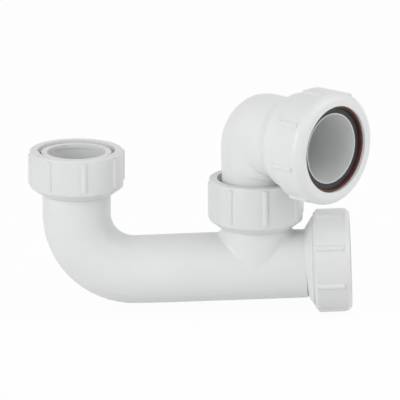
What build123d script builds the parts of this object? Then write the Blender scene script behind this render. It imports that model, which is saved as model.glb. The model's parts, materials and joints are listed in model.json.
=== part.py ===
from build123d import *
import os
from math import cos, radians, sin, tan

# Tube of the trap, millimetres and degrees
TUBE_OD = 43.0
TUBE_WALL = 2.2
RUN_SWELL = 0.2
BEND_RADIUS = 36.0
RUN_RISE = 2.5
RUN_DROP = 79.4
BRANCH_X = 113.0
BRANCH_NECK = 4.4
BRANCH_ROOT_FILLET = 4.0

# Flanges that keep the nuts on, and their washers
FLANGE_STEP = 1.5
FLANGE_THICKNESS = 3.0
INLET_RECESS = 1.2
INLET_WASHER_STEP = 0.6
INLET_WASHER_INSET = 0.7
INLET_WASHER_THICKNESS = 2.4
COUPLING_WASHER_THICKNESS = 2.0

# Union nut, used at the inlet and under the elbow
NUT_ROOM = 1.5
NUT_WALL = 5.1
INLET_NUT_WALL_HEIGHT = 22.8
COUPLING_NUT_WALL_HEIGHT = 26.2
NUT_CONE_HEIGHT = 4.8
NUT_FOOT_WIDTH = 1.2
NUT_WEB = 3.0
NUT_EDGE_ROUND = 1.1
RIB_COUNT = 8
RIB_WIDTH = 4.2
RIB_PROUD = 1.2
RIB_TOP_GAP = 1.6
RIB_FOOT_GAP = 2.4
INLET_RIB_TURN = 12.0
COUPLING_RIB_TURN = 13.0

# Swivel elbow and its pipe socket
OUTLET_TURN = 41.5
ELBOW_NECK = 1.4
ELBOW_THREAD_TOP_GAP = 5.0
ELBOW_INNER_ROUND = 3.0
ELBOW_OUTER_ROUND = 34.0
ELBOW_ARM_STRAIGHT = 1.0
ELBOW_SPOKES = 4
PIPE_OD = 43.0
PIPE_CLEARANCE = 0.2
PIPE_STOP = 0.8
SOCKET_WALL = 4.0
SOCKET_STEP = 4.9
SOCKET_FLARE = 8.7
SOCKET_SHOULDER_ROUND = 3.0
SOCKET_LENGTH = 25.6
SOCKET_LIP_WALL = 0.5
SOCKET_LIP_LENGTH = 3.6

# Compression joint on the socket
COMPRESSION_NUT_GAP = 11.3
COMPRESSION_NUT_WALL = 4.7
COMPRESSION_NUT_ROUND = 5.5
COMPRESSION_NUT_WEB = 2.0
COMPRESSION_NUT_LIP = 3.2
COMPRESSION_RIB_TURN = 12.0
SEAL_THICKNESS = 3.4
SLIP_WASHER_THICKNESS = 1.8
SLIP_WASHER_SHOWS = 1.3

# Cleaning eye and its screw cap
EYE_GAP = 10.0
EYE_LIFT = 1.6
EYE_FLARE = 5.0
EYE_LENGTH = 21.0
EYE_STEP = 6.4
EYE_WALL = 3.4
CAP_GAP = 0.8
CAP_SKIRT_WALL = 3.6
CAP_END_WALL = 3.0
CAP_RECESS_DEPTH = 2.8
CAP_RIM_WIDTH = 2.2
CAP_EDGE_CHAMFER = 2.2
CAP_SKIRT_CHAMFER = 2.2
CAP_EDGE_ROUND = 0.9
CAP_RIB_TURN = 16.5
CAP_WASHER_THICKNESS = 2.0

# Clearances
HOLE_CLEARANCE = 0.5
THREAD_CLEARANCE = 0.5
FACE_CLEARANCE = 0.3
OVERCUT = 1.0

# Radii that follow from the tube, the pipe and the walls
TUBE_R = TUBE_OD / 2
BORE_R = TUBE_R - TUBE_WALL
RUN_R = TUBE_R + RUN_SWELL
RUN_BORE_R = RUN_R - TUBE_WALL
FLANGE_R = TUBE_R + FLANGE_STEP
WASHER_R = TUBE_R + INLET_WASHER_STEP
WASHER_BORE_R = BORE_R - INLET_WASHER_INSET
NUT_THREAD_R = FLANGE_R + NUT_ROOM
NUT_BODY_R = NUT_THREAD_R + NUT_WALL
NUT_HOLE_R = TUBE_R + HOLE_CLEARANCE
NUT_FOOT_R = NUT_HOLE_R + NUT_FOOT_WIDTH
SOCKET_BORE_R = PIPE_OD / 2 + PIPE_CLEARANCE
SOCKET_LIP_R = SOCKET_BORE_R + SOCKET_LIP_WALL
ARM_R = SOCKET_BORE_R + SOCKET_WALL
SOCKET_R = ARM_R + SOCKET_STEP
COMPRESSION_BORE_R = SOCKET_R + THREAD_CLEARANCE
COMPRESSION_NUT_R = COMPRESSION_BORE_R + COMPRESSION_NUT_WALL
COMPRESSION_MOUTH_R = SOCKET_R - COMPRESSION_NUT_LIP
SLIP_WASHER_BORE_R = COMPRESSION_MOUTH_R - SLIP_WASHER_SHOWS
EYE_R = RUN_R + EYE_STEP
EYE_BORE_R = EYE_R - EYE_WALL
CAP_BORE_R = EYE_R + THREAD_CLEARANCE
CAP_R = CAP_BORE_R + CAP_SKIRT_WALL
CAP_RECESS_R = CAP_R - CAP_EDGE_CHAMFER - CAP_RIM_WIDTH

# Stack of the coupling, from the run up
BRANCH_AXIS_Z = -RUN_DROP + BRANCH_X * tan(radians(RUN_RISE))
COUPLING_NUT_FOOT = BRANCH_AXIS_Z + RUN_R + BRANCH_NECK
COUPLING_NUT_TOP = COUPLING_NUT_FOOT + NUT_CONE_HEIGHT + COUPLING_NUT_WALL_HEIGHT
BRANCH_FLANGE_FOOT = COUPLING_NUT_FOOT + NUT_WEB + FACE_CLEARANCE
BRANCH_TOP = BRANCH_FLANGE_FOOT + FLANGE_THICKNESS
ELBOW_FOOT = BRANCH_TOP + COUPLING_WASHER_THICKNESS
INLET_TOP = -INLET_RECESS - INLET_WASHER_THICKNESS
OUTLET_HEIGHT = COUPLING_NUT_TOP + ELBOW_NECK + ELBOW_INNER_ROUND + ARM_R

# Stack of the elbow's arm and its compression joint, from the branch axis out
ELBOW_CORNER = TUBE_R + ELBOW_INNER_ROUND
ARM_END = ELBOW_CORNER + ELBOW_ARM_STRAIGHT
SOCKET_START = ARM_END + SOCKET_FLARE
SOCKET_END = SOCKET_START + SOCKET_LENGTH
LIP_END = SOCKET_END + SOCKET_LIP_LENGTH
SEAL_END = SOCKET_END + SEAL_THICKNESS
SLIP_START = SEAL_END + FACE_CLEARANCE
COMPRESSION_WEB_START = SLIP_START + SLIP_WASHER_THICKNESS
COMPRESSION_END = COMPRESSION_WEB_START + COMPRESSION_NUT_WEB
COMPRESSION_START = SOCKET_START + COMPRESSION_NUT_GAP

# Stack of the cleaning eye, along the run
EYE_START = BRANCH_X + TUBE_R + EYE_GAP
EYE_END = EYE_START + EYE_LENGTH
CAP_START = EYE_START + EYE_FLARE + CAP_GAP
CAP_WALL_START = EYE_END + CAP_WASHER_THICKNESS
CAP_FLOOR = CAP_WALL_START + CAP_END_WALL
CAP_END = CAP_FLOOR + CAP_RECESS_DEPTH

# Directions and frames of the slanted run and of the swivelled outlet
RUN_DIR = Vector(cos(radians(RUN_RISE)), 0, sin(radians(RUN_RISE)))
OUTLET_DIR = Vector(cos(radians(OUTLET_TURN)), -sin(radians(OUTLET_TURN)), 0)
RUN_FRAME = Plane(origin=(0, 0, -RUN_DROP), x_dir=(0, 1, 0), z_dir=RUN_DIR)
EYE_ROOT = Vector(0, 0, -RUN_DROP) + Vector(-RUN_DIR.Z, 0, RUN_DIR.X) * EYE_LIFT
EYE_FRAME = Plane(origin=EYE_ROOT, x_dir=(0, 1, 0), z_dir=RUN_DIR)
OUTLET_FRAME = Plane(origin=(BRANCH_X, 0, OUTLET_HEIGHT), x_dir=(0, 0, 1), z_dir=OUTLET_DIR)
BEND_TANGENT = BEND_RADIUS * tan(radians(90 + RUN_RISE) / 2)


def turned(*points):
    """A solid of revolution about Z from (radius, height) points."""
    outline = Polyline(*[(r, 0, z) for r, z in points], close=True)
    return revolve(make_face(outline), Axis.Z)


def tube(inner_r, outer_r, low, high):
    return turned((inner_r, low), (outer_r, low), (outer_r, high), (inner_r, high))


def rod(radius, low, high):
    return Pos(0, 0, low) * Cylinder(radius, high - low, align=(Align.CENTER, Align.CENTER, Align.MIN))


def grip_ribs(body_r, low, high, turn):
    """Rounded bars down the side of a nut, set into its wall."""
    depth = RIB_WIDTH / 2
    bar = Pos(body_r + RIB_PROUD - depth, 0, low) * Cylinder(
        depth, high - low, align=(Align.CENTER, Align.CENTER, Align.MIN)
    )
    spots = PolarLocations(0, RIB_COUNT, start_angle=turn)
    return [spot * bar for spot in spots]


def rounded_rims(shell, radius, edge_round):
    """Rounds the circular edges of a turned shell that lie at that radius."""
    circles = shell.edges().filter_by(GeomType.CIRCLE)
    rims = [edge for edge in circles if abs(edge.radius - radius) < OVERCUT / 100]
    return fillet(rims, edge_round)


def union_nut(wall_height, rib_turn):
    """Open nut with its mouth at height 0, and a coned web at its foot."""
    foot = -wall_height - NUT_CONE_HEIGHT
    shell = turned(
        (NUT_THREAD_R, 0),
        (NUT_BODY_R, 0),
        (NUT_BODY_R, -wall_height),
        (NUT_FOOT_R, foot),
        (NUT_HOLE_R, foot),
        (NUT_HOLE_R, foot + NUT_WEB),
        (NUT_THREAD_R, foot + NUT_WEB),
    )
    shell = rounded_rims(shell, NUT_BODY_R, NUT_EDGE_ROUND)
    return shell + grip_ribs(NUT_BODY_R, -wall_height + RIB_FOOT_GAP, -RIB_TOP_GAP, rib_turn)


def trap_moulding():
    """Inlet leg, swept bend, run, tee branch and cleaning eye as one moulding."""
    bend_in = Vector(0, 0, -RUN_DROP + BEND_TANGENT)
    centre = Vector(BEND_RADIUS, 0, bend_in.Z)
    bend_axis = Axis(centre, (0, -1, 0))
    bend_plane = Plane(origin=bend_in, x_dir=(1, 0, 0), z_dir=(0, 0, 1))

    def swept(inlet_r, run_r, run_end):
        leg = rod(inlet_r, bend_in.Z, INLET_TOP)
        bend = revolve(bend_plane * Circle(inlet_r), bend_axis, 90 + RUN_RISE)
        run = RUN_FRAME * turned((0, BEND_TANGENT), (inlet_r, BEND_TANGENT), (run_r, BEND_TANGENT + TUBE_R),
                                 (run_r, run_end), (0, run_end))
        return leg + bend + run

    solid = swept(TUBE_R, RUN_R, EYE_START + OVERCUT)
    branch = Pos(BRANCH_X, 0, 0) * rod(TUBE_R, BRANCH_AXIS_Z, BRANCH_TOP)
    root = new_edges(solid, branch, combined=solid + branch)
    solid = fillet(root, BRANCH_ROOT_FILLET)
    solid += EYE_FRAME * turned(
        (0, EYE_START),
        (RUN_R - EYE_LIFT, EYE_START),
        (EYE_R, EYE_START + EYE_FLARE),
        (EYE_R, EYE_END),
        (0, EYE_END),
    )
    solid += rod(FLANGE_R, INLET_TOP - FLANGE_THICKNESS, INLET_TOP)
    solid += Pos(BRANCH_X, 0, 0) * rod(FLANGE_R, BRANCH_FLANGE_FOOT, BRANCH_TOP)

    hollow = swept(BORE_R, RUN_BORE_R, EYE_START + OVERCUT)
    hollow += rod(BORE_R, INLET_TOP - OVERCUT, INLET_TOP + OVERCUT)
    hollow += Pos(BRANCH_X, 0, 0) * rod(BORE_R, BRANCH_AXIS_Z, BRANCH_TOP + OVERCUT)
    hollow += EYE_FRAME * turned(
        (0, EYE_START),
        (RUN_BORE_R - EYE_LIFT, EYE_START),
        (EYE_BORE_R, EYE_START + EYE_FLARE),
        (EYE_BORE_R, EYE_END + OVERCUT),
        (0, EYE_END + OVERCUT),
    )
    return solid - hollow


def corner_reach(corner, way, tube_r, arm_r, outer_r):
    """Distance from the inside corner of the elbow to its outside, along one spoke."""
    upright = (corner.X + tube_r) / -way.X
    if corner.Z + upright * way.Z < arm_r - outer_r:
        return upright
    level = (arm_r - corner.Z) / way.Z
    if corner.X + level * way.X > outer_r - tube_r:
        return level
    offset = corner - Vector(outer_r - tube_r, 0, arm_r - outer_r)
    along = -offset.dot(way)
    return along + (along ** 2 - offset.dot(offset) + outer_r ** 2) ** 0.5


def elbow_bend(tube_r, arm_r, shrink, start):
    """Solid of the elbow's tight corner, from the upright tube to the arm."""
    corner = Vector(ELBOW_CORNER, 0, -ARM_R - ELBOW_INNER_ROUND)
    near = ELBOW_INNER_ROUND + shrink
    sections = []
    for height in (start, (start + corner.Z) / 2, corner.Z):
        sections.append(Plane(origin=(0, 0, height), x_dir=(-1, 0, 0), z_dir=(0, 0, 1)) * Circle(tube_r))
    for spoke in range(1, ELBOW_SPOKES + 1):
        share = spoke / (ELBOW_SPOKES + 1)
        angle = radians(90 * share)
        way = Vector(-cos(angle), 0, sin(angle))
        far = corner_reach(corner, way, tube_r, arm_r, ELBOW_OUTER_ROUND - shrink)
        plane = Plane(origin=corner + way * ((near + far) / 2), x_dir=way, z_dir=Vector(0, 1, 0).cross(way))
        sections.append(plane * Ellipse((far - near) / 2, tube_r + (arm_r - tube_r) * share))
    for reach in (ELBOW_CORNER, ARM_END):
        sections.append(Plane(origin=(reach, 0, 0), x_dir=(0, 0, 1), z_dir=(1, 0, 0)) * Circle(arm_r))
    return loft(sections)


def elbow_moulding():
    """Threaded foot, tight bend and flared pipe socket, along +X before it is set round."""
    foot = ELBOW_FOOT - OUTLET_HEIGHT
    thread_top = COUPLING_NUT_TOP - ELBOW_THREAD_TOP_GAP - OUTLET_HEIGHT
    arm_frame = Plane(origin=(0, 0, 0), x_dir=(0, 0, 1), z_dir=(1, 0, 0))
    solid = elbow_bend(TUBE_R, ARM_R, 0, thread_top)
    solid += rod(NUT_THREAD_R - THREAD_CLEARANCE, foot, thread_top)
    socket = turned(
        (0, ARM_END),
        (ARM_R, ARM_END),
        (SOCKET_R, SOCKET_START),
        (SOCKET_R, SOCKET_END),
        (0, SOCKET_END),
    )
    shoulder = socket.edges().filter_by(GeomType.CIRCLE).sort_by(Axis.Z)[-2]
    solid += arm_frame * fillet(shoulder, SOCKET_SHOULDER_ROUND)
    solid += arm_frame * rod(SOCKET_LIP_R, SOCKET_END, LIP_END)
    hollow = elbow_bend(BORE_R, SOCKET_BORE_R - PIPE_STOP, TUBE_WALL, thread_top)
    hollow += rod(BORE_R, foot - OVERCUT, thread_top)
    hollow += arm_frame * rod(SOCKET_BORE_R, ARM_END, LIP_END + OVERCUT)
    return solid - hollow


def compression_nut():
    shell = turned(
        (COMPRESSION_BORE_R, COMPRESSION_START),
        (COMPRESSION_NUT_R, COMPRESSION_START),
        (COMPRESSION_NUT_R, COMPRESSION_END),
        (COMPRESSION_MOUTH_R, COMPRESSION_END),
        (COMPRESSION_MOUTH_R, COMPRESSION_WEB_START),
        (COMPRESSION_BORE_R, COMPRESSION_WEB_START),
    )
    rims = shell.edges().filter_by(GeomType.CIRCLE).sort_by(SortBy.RADIUS)[-2:].sort_by(Axis.Z)
    shell = fillet(rims[0], NUT_EDGE_ROUND)
    nose = shell.edges().filter_by(GeomType.CIRCLE).group_by(Axis.Z)[-1].sort_by(SortBy.RADIUS)[-1]
    shell = fillet(nose, COMPRESSION_NUT_ROUND)
    low = COMPRESSION_START + RIB_TOP_GAP
    high = COMPRESSION_END - COMPRESSION_NUT_ROUND
    return shell + grip_ribs(COMPRESSION_NUT_R, low, high, COMPRESSION_RIB_TURN)


def cleaning_cap():
    shell = turned(
        (CAP_BORE_R, CAP_START),
        (CAP_R - CAP_SKIRT_CHAMFER, CAP_START),
        (CAP_R, CAP_START + CAP_SKIRT_CHAMFER),
        (CAP_R, CAP_END - CAP_EDGE_CHAMFER),
        (CAP_R - CAP_EDGE_CHAMFER, CAP_END),
        (CAP_RECESS_R, CAP_END),
        (CAP_RECESS_R, CAP_FLOOR),
        (0, CAP_FLOOR),
        (0, CAP_WALL_START),
        (CAP_BORE_R, CAP_WALL_START),
    )
    shell = rounded_rims(shell, CAP_R, CAP_EDGE_ROUND)
    low = CAP_START + CAP_SKIRT_CHAMFER
    high = CAP_END - CAP_EDGE_CHAMFER - RIB_TOP_GAP
    return shell + grip_ribs(CAP_R, low, high, CAP_RIB_TURN)


branch_spot = Pos(BRANCH_X, 0, 0)
coupling_spot = Pos(BRANCH_X, 0, COUPLING_NUT_TOP)
elbow_spot = Pos(BRANCH_X, 0, OUTLET_HEIGHT) * Rot(0, 0, -OUTLET_TURN)

nodes = {
    "trap_body": trap_moulding(),
    "inlet_washer": tube(WASHER_BORE_R, WASHER_R, INLET_TOP, -INLET_RECESS),
    "inlet_nut": union_nut(INLET_NUT_WALL_HEIGHT, INLET_RIB_TURN),
    "coupling_nut": coupling_spot * union_nut(COUPLING_NUT_WALL_HEIGHT, COUPLING_RIB_TURN),
    "coupling_washer": branch_spot * tube(BORE_R, FLANGE_R, BRANCH_TOP, ELBOW_FOOT),
    "outlet_elbow": elbow_spot * elbow_moulding(),
    "compression_seal": OUTLET_FRAME * tube(SOCKET_LIP_R + FACE_CLEARANCE, SOCKET_R, SOCKET_END, SEAL_END),
    "slip_washer": OUTLET_FRAME * tube(SLIP_WASHER_BORE_R, SOCKET_R, SLIP_START, COMPRESSION_WEB_START),
    "compression_nut": OUTLET_FRAME * compression_nut(),
    "cap_washer": EYE_FRAME * tube(EYE_BORE_R, EYE_R, EYE_END, CAP_WALL_START),
    "cleaning_cap": EYE_FRAME * cleaning_cap(),
}

os.makedirs("parts", exist_ok=True)
for name, solid in nodes.items():
    export_step(solid, f"parts/{name}.step")
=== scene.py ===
import json
from math import cos, radians, sin, tau

import bpy
from mathutils import Matrix, Vector


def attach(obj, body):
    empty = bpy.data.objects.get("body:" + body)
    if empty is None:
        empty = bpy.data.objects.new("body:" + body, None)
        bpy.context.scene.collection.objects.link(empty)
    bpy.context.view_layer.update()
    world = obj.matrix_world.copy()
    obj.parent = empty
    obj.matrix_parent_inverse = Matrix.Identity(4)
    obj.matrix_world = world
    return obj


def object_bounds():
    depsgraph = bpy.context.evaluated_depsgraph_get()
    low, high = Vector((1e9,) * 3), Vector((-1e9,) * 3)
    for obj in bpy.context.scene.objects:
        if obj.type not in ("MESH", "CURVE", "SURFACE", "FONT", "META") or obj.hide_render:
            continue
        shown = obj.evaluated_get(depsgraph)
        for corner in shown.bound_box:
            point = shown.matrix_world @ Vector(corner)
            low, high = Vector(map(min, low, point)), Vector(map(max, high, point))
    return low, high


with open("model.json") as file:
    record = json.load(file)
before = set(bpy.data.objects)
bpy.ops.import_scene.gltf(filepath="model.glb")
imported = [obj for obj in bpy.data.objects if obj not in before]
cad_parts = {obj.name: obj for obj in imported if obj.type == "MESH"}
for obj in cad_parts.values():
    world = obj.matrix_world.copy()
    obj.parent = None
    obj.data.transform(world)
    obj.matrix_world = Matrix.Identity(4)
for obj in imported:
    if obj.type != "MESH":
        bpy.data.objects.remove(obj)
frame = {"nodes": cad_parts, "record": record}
cad_box = [list(corner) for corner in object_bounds()]

# Trap body: one white polypropylene moulding of inlet leg, swept bend, run, tee branch and cleaning eye.
# It is injected round sliding cores, so the skin is smooth and softly shiny, with a fine parting line in
# its upright plane. The collar of the cleaning eye carries a coarse thread, which the cap screws on to.

MM = 0.001
BODY_WHITE = (0.775, 0.79, 0.785)
BODY_ROUGHNESS = 0.36
CLOUD_SHARE = 0.75
CLOUD_PROUD = 0.05 * MM
SKIN_PROUD = 0.010 * MM
PARTING_NORMAL = (0, 1, 0)
PARTING_HALF = 0.2 * MM
PARTING_PROUD = 0.05 * MM
PIPE_PITCH = 2.309 * MM
THREAD_PROUD = 0.42 * MM
THREAD_SUNK = 0.15 * MM
ROOT_HALF = 0.40 * PIPE_PITCH
CREST_HALF = 0.10 * PIPE_PITCH
STEPS_PER_TURN = 72
RUN_OUT_STEPS = 10
SHARP_EDGE = radians(40)
EYE_ROOT_R = 28.1 * MM
EYE_SPAN = (-8.0 * MM, 4.5 * MM)


class Shade:
    """A socket of a material, on which Python arithmetic adds Math nodes."""

    def __init__(self, tree, socket=None):
        self.tree = tree
        self.socket = socket

    def node(self, kind, settings, sockets, output=0):
        """The output of a new node: its settings are set first, then the values or links of its sockets."""
        made = self.tree.nodes.new(kind)
        for key, value in settings.items():
            if key == "stops":
                for element, (place, colour) in zip(made.color_ramp.elements, value):
                    element.position = place
                    element.color = colour
            else:
                setattr(made, key, value)
        fill(made, sockets)
        return Shade(self.tree, made.outputs[output])

    def math(self, operation, first, second):
        return self.node("ShaderNodeMath", {"operation": operation}, {0: first, 1: second})

    def __add__(self, other):
        return self.math("ADD", self, other)

    def __radd__(self, other):
        return self.math("ADD", other, self)

    def __sub__(self, other):
        return self.math("SUBTRACT", self, other)

    def __rsub__(self, other):
        return self.math("SUBTRACT", other, self)

    def __mul__(self, other):
        return self.math("MULTIPLY", self, other)

    def __rmul__(self, other):
        return self.math("MULTIPLY", other, self)

    def __abs__(self):
        return self.math("ABSOLUTE", self, 0.0)

    def under(self, limit):
        return self.math("LESS_THAN", self, limit)

    def at_most(self, limit):
        return self.math("MINIMUM", self, limit)

    def noise(self, scale, detail, rough=0.5):
        sockets = {"Vector": self, "Scale": scale, "Detail": detail, "Roughness": rough}
        return self.node("ShaderNodeTexNoise", {}, sockets)

    def swing(self, span):
        """Noise, which lies about 0.5, made to swing by a span about 0."""
        return (self - 0.5) * span

    def ramp(self, low_colour, high_colour, low=0.3, high=0.7):
        stops = [(low, (*low_colour, 1)), (high, (*high_colour, 1))]
        return self.node("ShaderNodeValToRGB", {"stops": stops}, {"Fac": self})

    def bump(self, strength):
        sockets = {"Height": self, "Distance": 1.0, "Strength": strength}
        return self.node("ShaderNodeBump", {}, sockets, "Normal")


def fill(node, sockets):
    """Sets each named socket of a node to a plain value, or links a shade to it."""
    for key, value in sockets.items():
        if isinstance(value, Shade):
            value.tree.links.new(value.socket, node.inputs[key])
        else:
            node.inputs[key].default_value = value


def finish_of(name):
    """A new material, as (material, its surface shader, its object coordinates)."""
    material = bpy.data.materials.new(name)
    material.use_nodes = True
    tree = material.node_tree
    spot = Shade(tree).node("ShaderNodeTexCoord", {}, {}, "Object")
    return material, tree.nodes["Principled BSDF"], spot


def toned(tint, share):
    return [share * channel for channel in tint]


def moulded_white(name, tint, roughness, parting=None):
    """Injected white polypropylene: cloudy tone, uneven gloss, a faint skin and a parting line."""
    material, shader, spot = finish_of(name)
    cloud = spot.noise(scale=24.0, detail=3.0, rough=0.55)
    streak = spot.noise(scale=70.0, detail=2.0)
    skin = spot.noise(scale=1100.0, detail=2.0, rough=0.6)
    tone = cloud * CLOUD_SHARE + streak * (1 - CLOUD_SHARE)
    height = skin * SKIN_PROUD + cloud * CLOUD_PROUD
    if parting is not None:
        dot = {"operation": "DOT_PRODUCT"}
        away = spot.node("ShaderNodeVectorMath", dot, {0: spot, 1: parting}, "Value")
        height = height + abs(away).under(PARTING_HALF) * PARTING_PROUD
    fill(shader, {
        "IOR": 1.49,
        "Subsurface Weight": 0.15,
        "Subsurface Radius": (1.0, 0.96, 0.92),
        "Subsurface Scale": 1.5 * MM,
        "Base Color": tone.ramp(toned(tint, 0.965), tint),
        "Roughness": roughness + skin.swing(0.08) + cloud.swing(0.14),
        "Normal": height.bump(strength=0.6),
    })
    return material


def dress(part, material):
    part.data.materials.clear()
    part.data.materials.append(material)


def along(joint_name):
    """Matrix whose Z runs along a joint's axis, from the joint's own point."""
    joint = next(j for j in frame["record"]["behaviour"]["joints"] if j["name"] == joint_name)
    turn = Vector(joint["axis"]).to_track_quat("Z", "Y").to_matrix().to_4x4()
    return Matrix.Translation(Vector(joint["pos_m"])) @ turn


def screw_thread(name, place, root_r, proud, span, body, material):
    """Right-hand thread ridge round the Z of a place, over a span along it.

    It stands proud of the root's radius, or inward of it where proud is negative.
    """
    low, high = span
    steps = round((high - low) / PIPE_PITCH * STEPS_PER_TURN)
    root = root_r - THREAD_SUNK if proud > 0 else root_r + THREAD_SUNK
    verts, faces = [], []
    for step in range(steps + 1):
        angle = tau * step / STEPS_PER_TURN
        middle = low + PIPE_PITCH * step / STEPS_PER_TURN
        crest = root_r + proud * min(1.0, step / RUN_OUT_STEPS, (steps - step) / RUN_OUT_STEPS)
        profile = ((root, -ROOT_HALF), (crest, -CREST_HALF), (crest, CREST_HALF), (root, ROOT_HALF))
        ring = len(verts)
        for radius, offset in profile:
            verts.append(place @ Vector((radius * cos(angle), radius * sin(angle), middle + offset)))
        if step:
            before = ring - len(profile)
            for corner in range(len(profile)):
                beside = (corner + 1) % len(profile)
                face = (before + corner, before + beside, ring + beside, ring + corner)
                faces.append(face if proud < 0 else face[::-1])
    faces += [(0, 1, 2, 3), (ring + 3, ring + 2, ring + 1, ring)]
    mesh = bpy.data.meshes.new(name)
    mesh.from_pydata(verts, [], faces)
    mesh.polygons.foreach_set("use_smooth", [True] * len(faces))
    mesh.set_sharp_from_angle(angle=SHARP_EDGE)
    ridge = bpy.data.objects.new(name, mesh)
    bpy.context.scene.collection.objects.link(ridge)
    dress(ridge, material)
    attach(ridge, body)


body_plastic = moulded_white("body_plastic", BODY_WHITE, BODY_ROUGHNESS, PARTING_NORMAL)
dress(frame["nodes"]["trap_body"], body_plastic)
screw_thread("eye_thread", along("cap_turn"), EYE_ROOT_R, THREAD_PROUD, EYE_SPAN, "trap", body_plastic)

# Sealing washers at the inlet and under the elbow: soft white polyethylene rings, stamped from sheet.
# They lie on the end flanges of the moulding, and the nuts draw the joints down on them.

WASHER_WHITE = (0.80, 0.805, 0.80)
WASHER_ROUGHNESS = 0.5
WASHER_GRAIN = 0.015 * MM


def soft_white(name, tint):
    """Stamped polyethylene: waxy and duller than the mouldings, with a fine drawn grain."""
    material, shader, spot = finish_of(name)
    cloud = spot.noise(scale=90.0, detail=3.0)
    grain = spot.noise(scale=1600.0, detail=3.0, rough=0.65)
    fill(shader, {
        "IOR": 1.51,
        "Subsurface Weight": 0.25,
        "Subsurface Scale": 1.5 * MM,
        "Base Color": cloud.ramp(toned(tint, 0.95), tint),
        "Roughness": WASHER_ROUGHNESS + grain.swing(0.15),
        "Normal": (grain * WASHER_GRAIN).bump(strength=0.6),
    })
    return material


washer_white = soft_white("washer_white", WASHER_WHITE)
for name in ("inlet_washer", "coupling_washer"):
    dress(frame["nodes"][name], washer_white)

# Union nuts at the inlet and under the elbow: the same white moulding with eight grip ribs.
# Each hangs on a flange by its coned web. The inlet nut's coarse pipe thread shows in its open mouth.

NUT_WHITE = (0.745, 0.755, 0.75)
NUT_ROUGHNESS = 0.34
NUT_WALL_R = 24.5 * MM
NUT_THREAD_PROUD = -0.8 * MM
NUT_SPAN = (-22.0 * MM, -2.6 * MM)

nut_plastic = moulded_white("nut_plastic", NUT_WHITE, NUT_ROUGHNESS)
for name in ("inlet_nut", "coupling_nut"):
    dress(frame["nodes"][name], nut_plastic)
screw_thread("inlet_nut_thread", along("inlet_nut_spin"), NUT_WALL_R, NUT_THREAD_PROUD, NUT_SPAN,
             "inlet_nut", nut_plastic)

# Outlet elbow: a white moulding with a tight round bend, a threaded foot in the coupling nut and a flared
# socket for the pipe. The socket has a coarse thread outside, under the compression nut.

ELBOW_WHITE = (0.80, 0.81, 0.805)
ELBOW_ROUGHNESS = 0.34
FOOT_ROOT_R = 24.0 * MM
FOOT_SPAN = (-51.6 * MM, -36.6 * MM)
SOCKET_ROOT_R = 30.6 * MM
SOCKET_SPAN = (46.5 * MM, 58.5 * MM)

elbow_plastic = moulded_white("elbow_plastic", ELBOW_WHITE, ELBOW_ROUGHNESS)
dress(frame["nodes"]["outlet_elbow"], elbow_plastic)
screw_thread("foot_thread", along("outlet_swivel"), FOOT_ROOT_R, THREAD_PROUD, FOOT_SPAN,
             "outlet", elbow_plastic)
screw_thread("socket_thread", along("compression_nut_turn"), SOCKET_ROOT_R, THREAD_PROUD, SOCKET_SPAN,
             "outlet", elbow_plastic)

# Compression seal: a moulded black rubber ring round the lip of the socket, gripped on to the pipe.
# Black rubber too is the flat washer inside the cleaning cap.

RUBBER_BLACK = (0.022, 0.022, 0.024)
RUBBER_ROUGHNESS = 0.55
RUBBER_GRAIN = 0.03 * MM


def black_rubber(name, tint):
    """Moulded rubber: near black, dull, with a grey bloom and a fine grain."""
    material, shader, spot = finish_of(name)
    bloom = spot.noise(scale=160.0, detail=4.0, rough=0.6)
    grain = spot.noise(scale=2200.0, detail=2.0, rough=0.6)
    fill(shader, {
        "Base Color": bloom.ramp(tint, toned(tint, 1.9), low=0.35, high=0.75),
        "Roughness": RUBBER_ROUGHNESS + bloom.swing(0.25),
        "Normal": (grain * RUBBER_GRAIN).bump(strength=0.7),
    })
    return material


seal_rubber = black_rubber("seal_rubber", RUBBER_BLACK)
for name in ("compression_seal", "cap_washer"):
    dress(frame["nodes"][name], seal_rubber)

# Slip washer: a thin hard ring of red-brown plastic between the seal and the nut.
# It lets the nut turn without dragging the rubber round.

SLIP_RED = (0.115, 0.028, 0.02)
SLIP_ROUGHNESS = 0.42
SLIP_GRAIN = 0.02 * MM


def hard_red(name, tint):
    """Hard filled plastic: dull red-brown with darker flecks and a fine grain."""
    material, shader, spot = finish_of(name)
    fleck = spot.noise(scale=320.0, detail=4.0, rough=0.6)
    grain = spot.noise(scale=1500.0, detail=2.0)
    fill(shader, {
        "Base Color": fleck.ramp(toned(tint, 0.7), toned(tint, 1.15)),
        "Roughness": SLIP_ROUGHNESS + fleck.swing(0.2),
        "Normal": (grain * SLIP_GRAIN).bump(strength=0.6),
    })
    return material


dress(frame["nodes"]["slip_washer"], hard_red("slip_red", SLIP_RED))

# Compression nut: a large white ribbed moulding with a rounded nose, screwed on the socket.
# Its lip bears on the slip washer and squeezes the seal.

COMPRESSION_ROUGHNESS = 0.33

compression_plastic = moulded_white("compression_plastic", BODY_WHITE, COMPRESSION_ROUGHNESS)
dress(frame["nodes"]["compression_nut"], compression_plastic)

# Cleaning cap: a large white screw cap with grip ribs and a dished end, on the collar of the cleaning eye.
# It is moulded like the nuts, and its skirt screws over the collar's thread.

CAP_ROUGHNESS = 0.36

dress(frame["nodes"]["cleaning_cap"], moulded_white("cap_plastic", NUT_WHITE, CAP_ROUGHNESS))

# Studio: a pale floor just under the part, a soft box at the left front and two at the right, and a long
# lens. Floor and surroundings are plain white to the camera, and the floor keeps a faint shadow.

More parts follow.
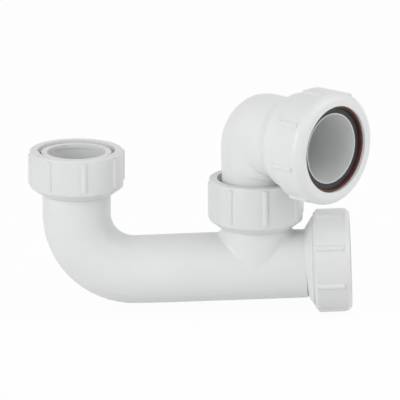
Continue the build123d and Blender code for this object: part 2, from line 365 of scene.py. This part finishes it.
FLOOR_HALF = 6.0
FLOOR_GAP = 0.5 * MM
FLOOR_PALE = (0.9, 0.9, 0.9, 1)
FLOOR_ROUGHNESS = 0.9
FLOOR_SEEN = 0.95
SKY_STRENGTH = 0.54
SEEN_WHITE = (1, 1, 1, 1)
SEEN_STRENGTH = 1.0
PART_MIDDLE = Vector((0.085, 0.0, -0.03))
PHOTO_SIZE = 400
FOCAL_PX = 6000.0
PX_PER_M = 1589.0
INLET_PX = (76.4, 149.7)
YAW = radians(-1.5)
PITCH = radians(15.0)
SENSOR_MM = 36.0
CLIP_NEAR = 0.1
CLIP_FAR = 60.0


def seen_rays(tree):
    """1 for rays from the camera, off gloss and through glass, and 0 for those that light the part."""
    kinds = ("Is Camera Ray", "Is Glossy Ray", "Is Transmission Ray")
    return sum(Shade(tree).node("ShaderNodeLightPath", {}, {}, kind) for kind in kinds).at_most(1.0)


floor_z = cad_box[0][2] - FLOOR_GAP
floor_sides = ((-1, -1), (1, -1), (1, 1), (-1, 1))
floor_corners = [(x * FLOOR_HALF, y * FLOOR_HALF, floor_z) for x, y in floor_sides]
floor_mesh = bpy.data.meshes.new("floor")
floor_mesh.from_pydata(floor_corners, [], [(0, 1, 2, 3)])
floor = bpy.data.objects.new("floor", floor_mesh)
bpy.context.scene.collection.objects.link(floor)
floor_paint, floor_shader, floor_spot = finish_of("floor_paint")
fill(floor_shader, {"Base Color": FLOOR_PALE, "Roughness": FLOOR_ROUGHNESS, "Specular IOR Level": 0.0})
floor_tree = floor_spot.tree
painted = Shade(floor_tree, floor_shader.outputs["BSDF"])
glow = painted.node("ShaderNodeEmission", {}, {"Color": SEEN_WHITE, "Strength": SEEN_STRENGTH})
share = seen_rays(floor_tree) * FLOOR_SEEN
mixed = painted.node("ShaderNodeMixShader", {}, {0: share, 1: painted, 2: glow})
fill(floor_tree.nodes["Material Output"], {"Surface": mixed})
dress(floor, floor_paint)

world = bpy.data.worlds.new("studio")
bpy.context.scene.world = world
world.use_nodes = True
strength = seen_rays(world.node_tree) * (SEEN_STRENGTH - SKY_STRENGTH) + SKY_STRENGTH
fill(world.node_tree.nodes["Background"], {"Color": SEEN_WHITE, "Strength": strength})


def soft_box(name, spot, size, watts):
    """A square area lamp, placed from the part's middle and turned to it."""
    lamp = bpy.data.lights.new(name, "AREA")
    lamp.shape = "SQUARE"
    lamp.size = size
    lamp.energy = watts
    holder = bpy.data.objects.new(name, lamp)
    bpy.context.scene.collection.objects.link(holder)
    holder.location = PART_MIDDLE + Vector(spot)
    holder.rotation_euler = (-Vector(spot)).to_track_quat("-Z", "Y").to_euler()


soft_box("key_box", spot=(-1.4, -1.6, 0.85), size=1.4, watts=21.0)
soft_box("rim_box", spot=(1.3, -0.7, 1.5), size=1.2, watts=6.2)
soft_box("side_box", spot=(2.0, -0.2, 0.7), size=1.2, watts=9.6)

# The lens stands where the frame's origin, the middle of the inlet's rim, falls on INLET_PX.
right = Vector((cos(YAW), -sin(YAW), 0))
ahead = Vector((sin(YAW) * cos(PITCH), cos(YAW) * cos(PITCH), -sin(PITCH)))
above = right.cross(ahead)
across = (INLET_PX[0] - PHOTO_SIZE / 2) / FOCAL_PX
down = (INLET_PX[1] - PHOTO_SIZE / 2) / FOCAL_PX
aim = ahead + right * across - above * down
lens = bpy.data.cameras.new("camera")
lens.sensor_fit = "HORIZONTAL"
lens.sensor_width = SENSOR_MM
lens.lens = FOCAL_PX * SENSOR_MM / PHOTO_SIZE
lens.clip_start = CLIP_NEAR
lens.clip_end = CLIP_FAR
camera = bpy.data.objects.new("camera", lens)
bpy.context.scene.collection.objects.link(camera)
stand = Matrix((right, above, -ahead)).transposed().to_4x4()
camera.matrix_world = Matrix.Translation(-aim * (FOCAL_PX / PX_PER_M)) @ stand
bpy.context.scene.camera = camera
bpy.context.scene.view_settings.view_transform = "Standard"
